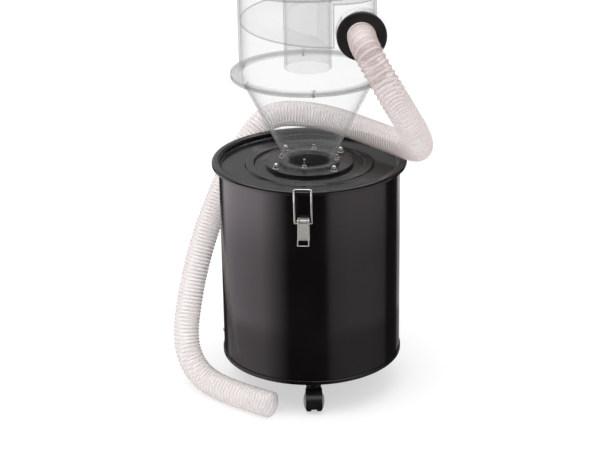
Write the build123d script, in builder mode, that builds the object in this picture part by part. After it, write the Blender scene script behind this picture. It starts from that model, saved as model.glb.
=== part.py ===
from build123d import *
from math import cos, pi, radians, sin, tan
import os

os.makedirs("parts", exist_ok=True)

# A workshop cyclone dust separator: a clear plastic cyclone bolted on the dished lid of a black
# steel drum, with two wire-bail latches, three twin-wheel casters and a ribbed hose. The origin is
# on the floor at the drum's axis, the front faces -Y and +Z is up. Sizes are in millimetres.

# Driving dimensions of the drum
drum_radius = 175.0
drum_sheet = 1.2
drum_foot_z = 70.0
chime_height = 8.0
chime_out = 2.2
chime_round = 1.0
base_recess = 8.0
base_sheet = 1.2

# The lid, its rolled rim and its pressed steps
rim_top_z = 470.0
rim_out = 13.0
rim_skirt = 9.0
rim_round = 5.0
pan_round = 4.0
press_round = 1.8
lid_sheet = 1.2
lid_play = 0.8
pan_depth = 12.0
throat_radius = 40.5
bead_out = 5.0
bead_height = 7.0
bead_round = 1.8
bead_bite = 0.4
bead_play = 0.6
hem_depth = 3.0
hem_round = 1.2
ring_inside = 105.0
ring_outside = 125.0
ring_height = 4.0
ring_slope = 3.0

# The cyclone's seat, cone, barrel, roof and tubes
seat_radius = 85.0
seat_height = 6.0
seat_chamfer = 1.0
cone_wall = 3.5
cone_play = 1.0
foot_flange_radius = 60.0
flange_out = 17.0
flange_sheet = 4.0
joint_z = 640.0
barrel_radius = 130.0
barrel_wall = 3.5
barrel_top_z = 807.0
top_plate_sheet = 4.0
tube_radius = 45.0
tube_wall = 3.0
tube_foot_z = 650.0
outlet_height = 44.0
roof_low_z = 720.0
roof_drop = 80.0
roof_sheet = 3.0
roof_play = 0.3
step_play = 0.5
turn_gap = 1.0
step_azimuth = 22.0

# The inlet pipe with its rubber collar, and the same collar on the outlet
inlet_inset = 34.0
inlet_z = 754.0
inlet_face_y = -170.0
pipe_radius = 31.0
pipe_wall = 3.0
pipe_flange_radius = 46.0
pipe_flange_y = -134.0
collar_radius = 45.0
collar_thickness = 9.0
collar_edge_round = 2.5
collar_mouth_round = 4.0
collar_sleeve = 22.0
collar_sleeve_wall = 4.0
outlet_disc_out = 10.0

# The hose
hose_radius = 26.0
hose_plug = 9.0

# The draw latches
latch_azimuths = {"front": -4.0, "rear": 176.0}
latch_pin_z = 411.0
latch_pin_out = 9.5
latch_pin_radius = 2.0
pin_clearance = 0.1
latch_base_width = 22.0
latch_base_height = 50.0
latch_base_sheet = 2.0
latch_base_root = 5.0
ear_bite = 0.5
ear_play = 0.4
ear_sheet = 1.6
ear_half_gap = 6.6
ear_half_height = 3.2
lever_width = 22.5
lever_sheet = 1.6
lever_length = 46.5
lever_tip = 14.0
lever_tip_out = 5.0
lever_lap = 2.0
lever_gap = 0.4
cheek_lap = 0.5
cheek_below_bail = 4.0
knuckle_radius = 5.4
pin_end = 0.6
base_over_pin = 8.0
bail_wire_radius = 1.6
bail_width = 35.0
bail_pivot_in = 2.0
bail_pivot_down = 6.5
bail_end_play = 0.3
bail_play = 0.6
bail_hook_in = 3.4
bail_shoulder_down = 20.0
bail_bends = [2.2, 6.0, 1.8, 3.4]

# The casters
caster_azimuths = (1.0, 121.0, 241.0)
caster_inset = 43.0
caster_trail = 14.0
wheel_radius = 21.0
wheel_width = 15.0
tread_width = 9.5
tread_edge = 1.2
cap_radius = 19.5
caster_plate_radius = 22.0
caster_plate_sheet = 2.5
stem_radius = 5.0
axle_radius = 3.0
shaft_clearance = 0.1
web_half_width = 4.5
wheel_gap = 0.8
fender_gap = 1.6
fender_sheet = 2.0
fender_half_width = 16.0
hood_play = 1.2
fender_foot_z = 13.0
boss_radius = 14.5
stem_depth = 18.0
stem_end_play = 1.0


def outward(azimuth):
    """The level direction away from the drum's axis, azimuth degrees round from the front."""
    return Vector(sin(radians(azimuth)), -cos(radians(azimuth)), 0)


def sideways(azimuth):
    return Vector(cos(radians(azimuth)), sin(radians(azimuth)), 0)


def side_plane(azimuth):
    """The upright plane through the drum's axis: local x is the radius and local y the height."""
    return Plane(origin=(0, 0, 0), x_dir=outward(azimuth), z_dir=-sideways(azimuth))


def place(azimuth, side, radius, height):
    return outward(azimuth) * radius + sideways(azimuth) * side + Vector(0, 0, height)


def keep(piece, name):
    piece.part.label = name
    export_step(piece.part, f"parts/{name}.step")


# The drum

drum_inside = drum_radius - drum_sheet
bead_top_z = rim_top_z - lid_sheet
base_z = drum_foot_z + base_recess

with BuildPart() as drum_shell:
    with BuildSketch(Plane.XZ):
        with Locations((drum_inside, drum_foot_z)):
            Rectangle(drum_sheet, bead_top_z - drum_foot_z, align=(Align.MIN, Align.MIN))
        with Locations((drum_radius - bead_bite, bead_top_z - bead_height)):
            Rectangle(bead_out + bead_bite, bead_height, align=(Align.MIN, Align.MIN))
        with Locations((drum_radius - bead_bite, drum_foot_z)):
            Rectangle(chime_out + bead_bite, chime_height, align=(Align.MIN, Align.MIN))
    revolve(axis=Axis.Z)
    low_rings = drum_shell.edges().filter_by(GeomType.CIRCLE).sort_by(Axis.Z)
    fillet(low_rings.filter_by(lambda e: abs(e.radius - drum_radius - chime_out) < 0.01)[:2], chime_round)
    rings = drum_shell.edges().filter_by(GeomType.CIRCLE)
    fillet(rings.filter_by(lambda e: abs(e.radius - drum_radius - bead_out) < 0.01), bead_round)
    rings = drum_shell.edges().filter_by(GeomType.CIRCLE)
    mouths = rings.filter_by(lambda e: abs(e.radius - drum_inside) < 0.01)
    fillet(mouths.sort_by(Axis.Z)[-1], rim_round - lid_sheet - bead_play)
keep(drum_shell, "drum_shell")

with BuildPart() as drum_base:
    with BuildSketch(Plane.XY.offset(base_z)):
        Circle(drum_inside)
    extrude(amount=base_sheet)
    with BuildSketch(Plane.XY.offset(drum_foot_z)):
        Circle(drum_inside)
        Circle(drum_inside - base_sheet, mode=Mode.SUBTRACT)
    extrude(amount=base_recess)
keep(drum_base, "drum_base")

# The lid: a dished pan with a pressed ring, and a rim rolled over the drum's bead

pan_z = rim_top_z - pan_depth
rim_radius = drum_radius + rim_out
half_sheet = lid_sheet / 2
pan_wall_radius = drum_inside - lid_play - half_sheet
rim_foot_z = rim_top_z - rim_skirt + half_sheet

with BuildPart() as lid:
    with BuildSketch(Plane.XZ):
        with BuildLine():
            bend = rim_round - half_sheet
            FilletPolyline(
                (throat_radius, pan_z - half_sheet),
                (ring_inside, pan_z - half_sheet),
                (ring_inside + ring_slope, pan_z + ring_height - half_sheet),
                (ring_outside - ring_slope, pan_z + ring_height - half_sheet),
                (ring_outside, pan_z - half_sheet),
                (pan_wall_radius, pan_z - half_sheet),
                (pan_wall_radius, rim_top_z - half_sheet),
                (rim_radius - half_sheet, rim_top_z - half_sheet),
                (rim_radius - half_sheet, rim_foot_z),
                (rim_radius - half_sheet - hem_depth, rim_foot_z),
                radius=[press_round, press_round, press_round, press_round, pan_round, bend, bend, hem_round],
            )
        trace(line_width=lid_sheet)
    revolve(axis=Axis.Z)
keep(lid, "lid")

# The cyclone's seat: a black ring on the pan, under the cone's foot flange

seat_top_z = pan_z + seat_height

with BuildPart() as cone_seat:
    with BuildSketch(Plane.XY.offset(pan_z)):
        Circle(seat_radius)
        Circle(throat_radius, mode=Mode.SUBTRACT)
    extrude(amount=seat_height)
    chamfer(cone_seat.faces().sort_by(Axis.Z)[-1].edges(), seat_chamfer)
keep(cone_seat, "cone_seat")

# The clear cone between its foot flange and the joint with the barrel

foot_top_z = seat_top_z + flange_sheet
cone_top_z = joint_z - flange_sheet
barrel_inside = barrel_radius - barrel_wall
inlet_x = barrel_radius - inlet_inset
flange_radius = barrel_radius + flange_out
cone_foot_radius = throat_radius + cone_play

with BuildPart() as cyclone_cone:
    with BuildSketch(Plane.XZ):
        with BuildLine():
            Polyline(
                (cone_foot_radius, seat_top_z),
                (foot_flange_radius, seat_top_z),
                (foot_flange_radius, foot_top_z),
                (cone_foot_radius + cone_wall, foot_top_z),
                (barrel_radius, cone_top_z),
                (flange_radius, cone_top_z),
                (flange_radius, joint_z),
                (barrel_inside, joint_z),
                (barrel_inside, cone_top_z),
                (cone_foot_radius, foot_top_z),
                close=True,
            )
        make_face()
    revolve(axis=Axis.Z)
keep(cyclone_cone, "cyclone_cone")

# The clear barrel with its flange and the inlet pipe that runs in along its right side

with BuildPart() as cyclone_barrel:
    with BuildSketch(Plane.XY.offset(joint_z)):
        Circle(barrel_radius)
    extrude(amount=barrel_top_z - joint_z)
    with BuildSketch(Plane.XY.offset(joint_z)):
        Circle(flange_radius)
    extrude(amount=flange_sheet)
    with BuildSketch(Plane((inlet_x, 0, inlet_z), x_dir=(1, 0, 0), z_dir=(0, -1, 0))):
        Circle(pipe_radius)
    extrude(amount=-inlet_face_y - collar_thickness)
    with BuildSketch(Plane((inlet_x, pipe_flange_y, inlet_z), x_dir=(1, 0, 0), z_dir=(0, -1, 0))):
        Circle(pipe_flange_radius)
    extrude(amount=flange_sheet)
    with BuildSketch(Plane.XY.offset(joint_z)):
        Circle(barrel_inside)
    extrude(amount=barrel_top_z - joint_z, mode=Mode.SUBTRACT)
    with BuildSketch(Plane((inlet_x, 0, inlet_z), x_dir=(1, 0, 0), z_dir=(0, -1, 0))):
        Circle(pipe_radius - pipe_wall)
    extrude(amount=-inlet_face_y, mode=Mode.SUBTRACT)
keep(cyclone_barrel, "cyclone_barrel")

# The helical roof, one turn that falls round the outlet tube, and the wall that closes its step

roof_in = tube_radius + roof_play
roof_out = barrel_inside - roof_play
roof_width = roof_out - roof_in
roof_mid = (roof_in + roof_out) / 2
roof_rise = roof_drop * (1 - turn_gap / 360)

with BuildPart() as helical_roof:
    with BuildLine(Plane.XY.offset(roof_low_z)):
        spiral = Helix(pitch=roof_drop, height=roof_rise, radius=roof_mid, lefthand=True)
    with BuildSketch(Plane(origin=spiral @ 0, x_dir=(1, 0, 0), z_dir=spiral % 0)):
        Rectangle(roof_width, roof_sheet)
    sweep(path=spiral, is_frenet=True)
    with BuildSketch(Plane.XY.offset(roof_low_z - roof_sheet / 2)):
        with Locations((roof_mid, 0)):
            Rectangle(roof_width - 2 * step_play, roof_sheet)
    extrude(amount=roof_drop + roof_sheet)
helical_roof.part = helical_roof.part.rotate(Axis.Z, step_azimuth - 90)
keep(helical_roof, "helical_roof")

# The top plate and the outlet tube that hangs through it

with BuildPart() as top_plate:
    with BuildSketch(Plane.XY.offset(barrel_top_z)):
        Circle(barrel_radius)
        Circle(tube_radius, mode=Mode.SUBTRACT)
    extrude(amount=top_plate_sheet)
keep(top_plate, "top_plate")

tube_top_z = barrel_top_z + top_plate_sheet + outlet_height
with BuildPart() as outlet_tube:
    with BuildSketch(Plane.XY.offset(tube_foot_z)):
        Circle(tube_radius)
        Circle(tube_radius - tube_wall, mode=Mode.SUBTRACT)
    extrude(amount=tube_top_z - tube_foot_z)
keep(outlet_tube, "outlet_tube")


def collar(inside_radius, disc_radius, bore_radius, name, plane):
    """A black rubber cup: a thick disc with a bore, and a sleeve that grips a pipe behind it."""
    with BuildPart() as cup:
        with BuildSketch(plane):
            Circle(disc_radius)
        extrude(amount=collar_thickness)
        with BuildSketch(plane):
            Circle(inside_radius + collar_sleeve_wall)
        extrude(amount=-collar_sleeve)
        with BuildSketch(plane):
            Circle(inside_radius)
        extrude(amount=-collar_sleeve, mode=Mode.SUBTRACT)
        with BuildSketch(plane):
            Circle(bore_radius)
        extrude(amount=collar_thickness, mode=Mode.SUBTRACT)
        rings = cup.edges().filter_by(GeomType.CIRCLE)
        fillet(rings.filter_by(lambda e: abs(e.radius - disc_radius) < 0.01), collar_edge_round)
        bores = cup.edges().filter_by(GeomType.CIRCLE).filter_by(lambda e: abs(e.radius - bore_radius) < 0.01)
        fillet(bores.sort_by(Axis(plane.origin, plane.z_dir))[-1], collar_mouth_round)
    keep(cup, name)


inlet_mouth = Plane((inlet_x, inlet_face_y + collar_thickness, inlet_z), x_dir=(1, 0, 0), z_dir=(0, -1, 0))
collar(pipe_radius, collar_radius, hose_radius, "inlet_collar", inlet_mouth)
outlet_disc_radius = tube_radius + outlet_disc_out
collar(tube_radius, outlet_disc_radius, hose_radius, "outlet_collar", Plane.XY.offset(tube_top_z))

# The draw latches: a riveted base with ears and a pin, a lever on the pin, and a wire bail

pin_r = drum_radius + latch_pin_out
base_face_r = drum_radius + latch_base_sheet
lever_face_r = pin_r + ear_half_height + ear_play + lever_gap
lever_back_r = pin_r - knuckle_radius
lever_top_z = latch_pin_z - lever_lap
lever_foot_z = latch_pin_z - lever_length
bail_r = pin_r - bail_pivot_in
bail_z = latch_pin_z - bail_pivot_down
bail_side = bail_width / 2 - bail_wire_radius
hook_z = rim_top_z + bail_wire_radius + bail_play
hook_r = rim_radius - bail_hook_in
outer_r = rim_radius + bail_wire_radius + bail_play
cheek_inside = lever_width / 2 - lever_sheet

for end, azimuth in latch_azimuths.items():
    plane = side_plane(azimuth)
    with BuildPart() as latch_base:
        with BuildSketch(plane):
            with Locations((drum_radius - latch_base_root, latch_pin_z + base_over_pin - latch_base_height)):
                base_depth = latch_base_root + latch_base_sheet
                Rectangle(base_depth, latch_base_height, align=(Align.MIN, Align.MIN))
        extrude(amount=latch_base_width / 2, both=True)
        with BuildSketch(plane):
            with Locations((base_face_r - ear_bite, latch_pin_z)):
                ear_root = pin_r - base_face_r + ear_bite
                Rectangle(ear_root, 2 * ear_half_height, align=(Align.MIN, Align.CENTER))
            with Locations((pin_r, latch_pin_z)):
                Circle(ear_half_height)
        extrude(amount=ear_half_gap + ear_sheet, both=True)
        with BuildSketch(plane):
            with Locations((base_face_r, latch_pin_z)):
                Rectangle(2 * latch_pin_out, 4 * ear_half_height, align=(Align.MIN, Align.CENTER))
        extrude(amount=ear_half_gap, both=True, mode=Mode.SUBTRACT)
        with BuildSketch(Plane.XY.offset(latch_pin_z - latch_base_height)):
            Circle(drum_radius)
        extrude(amount=2 * latch_base_height, mode=Mode.SUBTRACT)
        with BuildSketch(plane):
            with Locations((pin_r, latch_pin_z)):
                Circle(latch_pin_radius)
        extrude(amount=lever_width / 2 + pin_end, both=True)
    keep(latch_base, f"{end}_latch_base")

    with BuildPart() as latch_lever:
        with BuildSketch(plane):
            with BuildLine():
                Polyline(
                    (lever_face_r, lever_top_z),
                    (lever_face_r + lever_sheet, lever_top_z),
                    (lever_face_r + lever_sheet, lever_foot_z + lever_tip),
                    (lever_face_r + lever_sheet + lever_tip_out, lever_foot_z),
                    (lever_face_r + lever_tip_out, lever_foot_z),
                    (lever_face_r, lever_foot_z + lever_tip),
                    close=True,
                )
            make_face()
        extrude(amount=lever_width / 2, both=True)
        with BuildSketch(plane):
            with BuildLine():
                Polyline(
                    (lever_back_r, latch_pin_z),
                    (lever_back_r, bail_z - cheek_below_bail),
                    (lever_face_r + cheek_lap, lever_foot_z + lever_tip + lever_lap),
                    (lever_face_r + cheek_lap, latch_pin_z),
                    close=True,
                )
            make_face()
            with Locations((pin_r, latch_pin_z)):
                Circle(knuckle_radius)
            with Locations((pin_r, latch_pin_z)):
                Circle(latch_pin_radius + pin_clearance, mode=Mode.SUBTRACT)
            with Locations((bail_r, bail_z)):
                Circle(bail_wire_radius + pin_clearance, mode=Mode.SUBTRACT)
        extrude(amount=lever_width / 2, both=True)
        with BuildSketch(plane):
            with Locations((lever_back_r - lever_lap, lever_foot_z)):
                slot_depth = lever_face_r - lever_back_r + lever_lap
                Rectangle(slot_depth, lever_length + 2 * knuckle_radius, align=(Align.MIN, Align.MIN))
            with Locations((lever_back_r - lever_lap, lever_top_z)):
                Rectangle(4 * knuckle_radius, 4 * knuckle_radius, align=(Align.MIN, Align.MIN))
        extrude(amount=cheek_inside, both=True, mode=Mode.SUBTRACT)
    keep(latch_lever, f"{end}_latch_lever")

    wire_stops = [
        (cheek_inside - bail_end_play, bail_r, bail_z),
        (bail_side, bail_r, bail_z),
        (bail_side, outer_r, rim_top_z - bail_shoulder_down),
        (bail_side, outer_r, hook_z),
        (bail_side, hook_r, hook_z),
    ]
    route = wire_stops + [(-side, r, z) for side, r, z in reversed(wire_stops)]
    with BuildPart() as latch_bail:
        with BuildLine():
            bends = bail_bends + bail_bends[::-1]
            wire = FilletPolyline(*[place(azimuth, *stop) for stop in route], radius=bends)
        with BuildSketch(Plane(origin=wire @ 0, z_dir=wire % 0)):
            Circle(bail_wire_radius)
        sweep(path=wire)
    keep(latch_bail, f"{end}_latch_bail")

# The casters: a plate with its stem, a hood that swivels on the stem, and a pair of wheels

caster_circle = drum_radius - caster_inset
axle_circle = caster_circle + caster_trail
plate_z = base_z - caster_plate_sheet
hood_top_z = plate_z - hood_play
fender_in = wheel_radius + fender_gap
fender_out = fender_in + fender_sheet
wheel_in = web_half_width + wheel_gap
tread_out = wheel_in + tread_width
stem_foot_z = hood_top_z - stem_depth

for number, azimuth in enumerate(caster_azimuths, start=1):
    plane = side_plane(azimuth)
    stem = outward(azimuth) * caster_circle
    with BuildPart() as caster_plate:
        with BuildSketch(Plane(origin=(stem.X, stem.Y, plate_z))):
            Circle(caster_plate_radius)
        extrude(amount=caster_plate_sheet)
        with BuildSketch(Plane(origin=(stem.X, stem.Y, stem_foot_z))):
            Circle(stem_radius)
        extrude(amount=plate_z - stem_foot_z)
    keep(caster_plate, f"caster_{number}_plate")

    with BuildPart() as caster_hood:
        with BuildSketch(plane):
            with Locations((axle_circle, wheel_radius)):
                Circle(fender_out)
            with Locations((axle_circle, fender_foot_z)):
                Rectangle(4 * fender_out, fender_out, align=(Align.CENTER, Align.MAX), mode=Mode.SUBTRACT)
        extrude(amount=fender_half_width, both=True)
        with BuildSketch(Plane(origin=(stem.X, stem.Y, wheel_radius))):
            Circle(boss_radius)
        extrude(amount=hood_top_z - wheel_radius)
        for way in (1, -1):
            with BuildSketch(plane.offset(way * web_half_width)):
                with Locations((axle_circle, wheel_radius)):
                    Circle(fender_in)
            extrude(amount=way * 2 * fender_half_width, mode=Mode.SUBTRACT)
        with BuildSketch(plane):
            with Locations((axle_circle, wheel_radius)):
                Circle(axle_radius + shaft_clearance)
        extrude(amount=2 * fender_half_width, both=True, mode=Mode.SUBTRACT)
        with BuildSketch(Plane(origin=(stem.X, stem.Y, hood_top_z))):
            Circle(stem_radius + shaft_clearance)
        extrude(amount=-stem_depth - stem_end_play, mode=Mode.SUBTRACT)
    keep(caster_hood, f"caster_{number}_hood")

    axle = place(azimuth, 0, axle_circle, wheel_radius)
    with BuildPart() as caster_wheels:
        with BuildSketch(Plane(origin=axle, x_dir=outward(azimuth), z_dir=(0, 0, 1))):
            with BuildLine():
                Polyline(
                    (0, wheel_in + wheel_width),
                    (0, wheel_in),
                    (wheel_radius - tread_edge, wheel_in),
                    (wheel_radius, wheel_in + tread_edge),
                    (wheel_radius, tread_out - tread_edge),
                    (cap_radius, tread_out),
                )
                TangentArc((0, wheel_in + wheel_width), (cap_radius, tread_out), tangent=(1, 0))
            make_face()
        revolve(axis=Axis(axle, sideways(azimuth)))
        mirror(about=plane)
        with BuildSketch(plane):
            with Locations((axle_circle, wheel_radius)):
                Circle(axle_radius)
        extrude(amount=wheel_in + tread_edge, both=True)
    keep(caster_wheels, f"caster_{number}_wheels")

# The hose, from inside the inlet collar over the rim, behind the drum and down to the floor

hose_points = [
    (inlet_x, inlet_face_y + hose_plug, inlet_z),
    (inlet_x, -186, inlet_z),
    (99, -212, 750),
    (109, -235, 735),
    (123, -248, 711),
    (138, -251, 685),
    (153, -245, 657),
    (168, -229, 628),
    (181, -205, 601),
    (193, -174, 573),
    (201, -138, 546),
    (205, -99, 523),
    (202, -63, 507),
    (190, -32, 500),
    (168, -1, 498.5),
    (138, 36, 499),
    (102, 79, 500),
    (62, 123, 501.5),
    (17, 156, 503.5),
    (-29, 176, 503),
    (-66, 189, 497),
    (-93, 196, 481),
    (-115, 193, 455),
    (-140, 181, 421),
    (-164, 162, 380),
    (-186, 136, 335),
    (-207, 107, 288),
    (-224, 79, 241),
    (-238, 50, 191),
    (-247, 23, 145),
    (-252, -2, 108),
    (-249, -20, 76),
    (-237, -39, 50),
    (-217, -62, 33.5),
    (-189, -88, 26.5),
    (-158, -116, 26.2),
    (-122, -144, 26.2),
    (-80, -172, 26.2),
]


def tube_radii(points):
    """As large an arc at each corner as its two runs allow."""
    runs = [Vector(*b) - Vector(*a) for a, b in zip(points, points[1:])]
    turns = [a.get_angle(b) for a, b in zip(runs, runs[1:])]
    return [
        0.45 * min(a.length, b.length) / tan(radians(turn) / 2)
        for a, b, turn in zip(runs, runs[1:], turns)
    ]


bend_radii = tube_radii(hose_points)
print("hose radii in diameters:", [round(r / hose_radius / 2, 1) for r in bend_radii])
runs = [(Vector(*b) - Vector(*a)).length for a, b in zip(hose_points, hose_points[1:])]
print("hose runs:", [round(r) for r in runs])
with BuildPart() as hose:
    with BuildLine():
        hose_line = FilletPolyline(*hose_points, radius=bend_radii)
    with BuildSketch(Plane(origin=hose_line @ 0, z_dir=hose_line % 0)):
        Circle(hose_radius)
    sweep(path=hose_line)
keep(hose, "hose")
hose_section = pi * hose_radius**2
swept_length = hose.part.volume / hose_section
print("hose length", round(hose_line.length, 1), "volume over section", round(swept_length, 1))
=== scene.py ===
from math import cos, pi, radians, sin, tau

import bmesh
import bpy
import numpy as np
from mathutils import Matrix, Vector


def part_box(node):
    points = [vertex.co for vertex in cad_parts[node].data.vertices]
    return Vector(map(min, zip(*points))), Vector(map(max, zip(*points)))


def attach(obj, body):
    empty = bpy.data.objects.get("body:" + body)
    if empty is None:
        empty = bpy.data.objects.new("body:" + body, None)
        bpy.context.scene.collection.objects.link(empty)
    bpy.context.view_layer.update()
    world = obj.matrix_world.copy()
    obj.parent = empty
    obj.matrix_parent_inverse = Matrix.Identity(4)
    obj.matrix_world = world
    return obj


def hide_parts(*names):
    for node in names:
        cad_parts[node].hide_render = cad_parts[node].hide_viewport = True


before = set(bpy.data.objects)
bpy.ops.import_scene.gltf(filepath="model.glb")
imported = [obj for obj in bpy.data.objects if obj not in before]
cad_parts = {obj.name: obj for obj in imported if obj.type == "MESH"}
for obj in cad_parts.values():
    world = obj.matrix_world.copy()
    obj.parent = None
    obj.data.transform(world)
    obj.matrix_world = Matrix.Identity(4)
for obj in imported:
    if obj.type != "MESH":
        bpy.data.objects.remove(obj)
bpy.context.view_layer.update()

# The camera
# It stands a little over three metres from the drum's axis and 1.56 m up, looks down by 22
# degrees through a long lens, and leans by one degree as the picture does.
camera_distance = 3.0886
camera_height = 1.5575
camera_tilt = radians(21.67)
camera_turn = radians(-0.37)
camera_roll = radians(-0.928)

lens = bpy.data.cameras.new("camera")
lens.lens = 102.0
lens.sensor_width = 36.0
camera = bpy.data.objects.new("camera", lens)
bpy.context.scene.collection.objects.link(camera)
look = Vector((sin(camera_turn) * cos(camera_tilt), cos(camera_turn) * cos(camera_tilt), -sin(camera_tilt)))
aim = look.to_track_quat("-Z", "Y").to_matrix() @ Matrix.Rotation(camera_roll, 3, "Z")
camera.matrix_world = Matrix.Translation((0, -camera_distance, camera_height)) @ aim.to_4x4()
bpy.context.scene.camera = camera

# The hose
# A dust hose 52 mm across, of thin clear plastic film over a coil of copper-plated spring wire.
# It leaves the inlet collar, folds over the lid's rim, runs behind the cone and lies on the floor.
hose_radius = 0.026
hose_route = [
    (0.096, -0.161, 0.754),
    (0.096, -0.186, 0.754),
    (0.099, -0.212, 0.75),
    (0.109, -0.235, 0.735),
    (0.123, -0.248, 0.711),
    (0.138, -0.251, 0.685),
    (0.153, -0.245, 0.657),
    (0.168, -0.229, 0.628),
    (0.181, -0.205, 0.601),
    (0.193, -0.174, 0.573),
    (0.201, -0.138, 0.546),
    (0.205, -0.099, 0.523),
    (0.202, -0.063, 0.507),
    (0.19, -0.032, 0.5),
    (0.168, -0.001, 0.4985),
    (0.138, 0.036, 0.499),
    (0.102, 0.079, 0.5),
    (0.062, 0.123, 0.5015),
    (0.017, 0.156, 0.5035),
    (-0.029, 0.176, 0.503),
    (-0.066, 0.189, 0.497),
    (-0.093, 0.196, 0.481),
    (-0.115, 0.193, 0.455),
    (-0.14, 0.181, 0.421),
    (-0.164, 0.162, 0.38),
    (-0.186, 0.136, 0.335),
    (-0.207, 0.107, 0.288),
    (-0.224, 0.079, 0.241),
    (-0.238, 0.05, 0.191),
    (-0.247, 0.023, 0.145),
    (-0.252, -0.002, 0.108),
    (-0.249, -0.02, 0.076),
    (-0.237, -0.039, 0.05),
    (-0.217, -0.062, 0.0335),
    (-0.189, -0.088, 0.0265),
    (-0.158, -0.116, 0.0262),
    (-0.122, -0.144, 0.0262),
    (-0.08, -0.172, 0.0262),
]
film_thickness = 0.0009
dip_share = 0.21
wire_radius = 0.0007
hose_sides = 40
rib_sharpness = 6
inside_step = 5
wire_steps = 30
weld = 1e-6
# Share of the hose's length, and the coil's pitch there: open where it hangs, closed up behind.
pitch_stops = [
    (0.0, 0.0118), (0.20, 0.0108), (0.27, 0.0078), (0.36, 0.0064), (0.58, 0.0072), (1.0, 0.0078),
]

route = bpy.data.curves.new("hose_route", "CURVE")
route.dimensions = "3D"
route.resolution_u = 46
spline = route.splines.new("NURBS")
spline.points.add(len(hose_route) - 1)
for point, stop in zip(spline.points, hose_route):
    point.co = (*stop, 1.0)
spline.order_u = 3
spline.use_endpoint_u = True
route_object = bpy.data.objects.new("hose_route", route)
bpy.context.scene.collection.objects.link(route_object)
route_mesh = bpy.data.meshes.new_from_object(route_object)
centres = np.array([v.co for v in route_mesh.vertices])
bpy.data.objects.remove(route_object)

steps = np.linalg.norm(np.diff(centres, axis=0), axis=1)
travel = np.concatenate([[0.0], np.cumsum(steps)])
tangents = np.gradient(centres, axis=0)
tangents /= np.linalg.norm(tangents, axis=1)[:, None]
normals = [np.array(Vector(tangents[0]).orthogonal().normalized())]
for tangent in tangents[1:]:
    turned = normals[-1] - tangent * normals[-1].dot(tangent)
    normals.append(turned / np.linalg.norm(turned))
normals = np.array(normals)
sides = np.cross(tangents, normals)
shares, pitches = zip(*pitch_stops)
pitch = np.interp(travel / travel[-1], shares, pitches)
turns = np.concatenate([[0.0], np.cumsum(steps / pitch[1:])])
dips = dip_share * pitch


def sleeve(bm, stations, crest_at, inset):
    """A round tube through some of the hose's stations; gives the vertices of its two open ends."""
    count = len(stations)
    crest = bm.verts.layers.float.get("crest") or bm.verts.layers.float.new("crest")
    made = bmesh.ops.create_grid(bm, x_segments=count - 1, y_segments=hose_sides, size=1.0)["verts"]
    ends = [[], []]
    for vertex in made:
        row = round((vertex.co.x + 1) / 2 * (count - 1))
        share = (vertex.co.y + 1) / 2
        station = stations[row]
        vertex[crest] = crest_at(turns[station] - share)
        radius = hose_radius - inset - dips[station] * (1 - vertex[crest])
        angle = tau * share
        arm = normals[station] * cos(angle) + sides[station] * sin(angle)
        vertex.co = Vector(centres[station] + arm * radius)
        if row in (0, count - 1):
            ends[row > 0].append(vertex)
    return ends


def ribbed(turn):
    """How far the film stands out: one over each wire, none halfway between two wires."""
    return cos(pi * turn) ** rib_sharpness


def link(name, bm, smooth=True):
    """A bmesh as an object at the origin."""
    mesh = bpy.data.meshes.new(name)
    bm.to_mesh(mesh)
    bm.free()
    mesh.polygons.foreach_set("use_smooth", [smooth] * len(mesh.polygons))
    made = bpy.data.objects.new(name, mesh)
    bpy.context.scene.collection.objects.link(made)
    return made


bm = bmesh.new()
outside = sleeve(bm, list(range(len(centres))), ribbed, 0.0)
inside_stations = list(range(0, len(centres) - 1, inside_step)) + [len(centres) - 1]
inside = sleeve(bm, inside_stations, lambda turn: 0.0, film_thickness)
bmesh.ops.remove_doubles(bm, verts=bm.verts, dist=weld)
for outer_end, inner_end in zip(outside, inside):
    rim = {v for v in outer_end + inner_end if v.is_valid}
    edges = [e for e in bm.edges if e.is_boundary and set(e.verts) <= rim]
    bmesh.ops.bridge_loops(bm, edges=edges)
bmesh.ops.recalc_face_normals(bm, faces=bm.faces)
hose_film = link("hose_film", bm)

wire_turns = np.arange(0.0, turns[-1], 1 / wire_steps)
wire_centre, wire_normal, wire_side = (
    np.stack([np.interp(wire_turns, turns, values[:, axis]) for axis in range(3)], axis=1)
    for values in (centres, normals, sides)
)
wire_angle = (tau * wire_turns)[:, None]
wire_arm = wire_normal * np.cos(wire_angle) + wire_side * np.sin(wire_angle)
wire_points = wire_centre + wire_arm * (hose_radius - film_thickness / 2 - wire_radius)
coil = bpy.data.curves.new("hose_wire", "CURVE")
coil.dimensions = "3D"
coil.bevel_depth = wire_radius
coil.bevel_resolution = 1
coil.use_fill_caps = True
winding = coil.splines.new("POLY")
winding.points.add(len(wire_points) - 1)
winding.points.foreach_set("co", np.column_stack([wire_points, np.ones(len(wire_points))]).ravel())
coil_object = bpy.data.objects.new("hose_coil", coil)
bpy.context.scene.collection.objects.link(coil_object)
hose_wire = bpy.data.objects.new("hose_wire", bpy.data.meshes.new_from_object(coil_object))
bpy.context.scene.collection.objects.link(hose_wire)
bpy.data.objects.remove(coil_object)


def new_finish(name, **sockets):
    """A material whose plain values stand on the shader's own sockets, with its tree and shader."""
    made = bpy.data.materials.new(name)
    made.use_nodes = True
    shader = made.node_tree.nodes["Principled BSDF"]
    for socket, value in sockets.items():
        shader.inputs[socket.replace("_", " ")].default_value = value
    return made, made.node_tree, shader


def node(tree, kind, **settings):
    """A node of that kind; a setting is one of its properties or else one of its inputs."""
    made = tree.nodes.new(kind)
    for name, value in settings.items():
        if hasattr(made, name):
            setattr(made, name, value)
        else:
            made.inputs[name.replace("_", " ")].default_value = value
    return made


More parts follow.
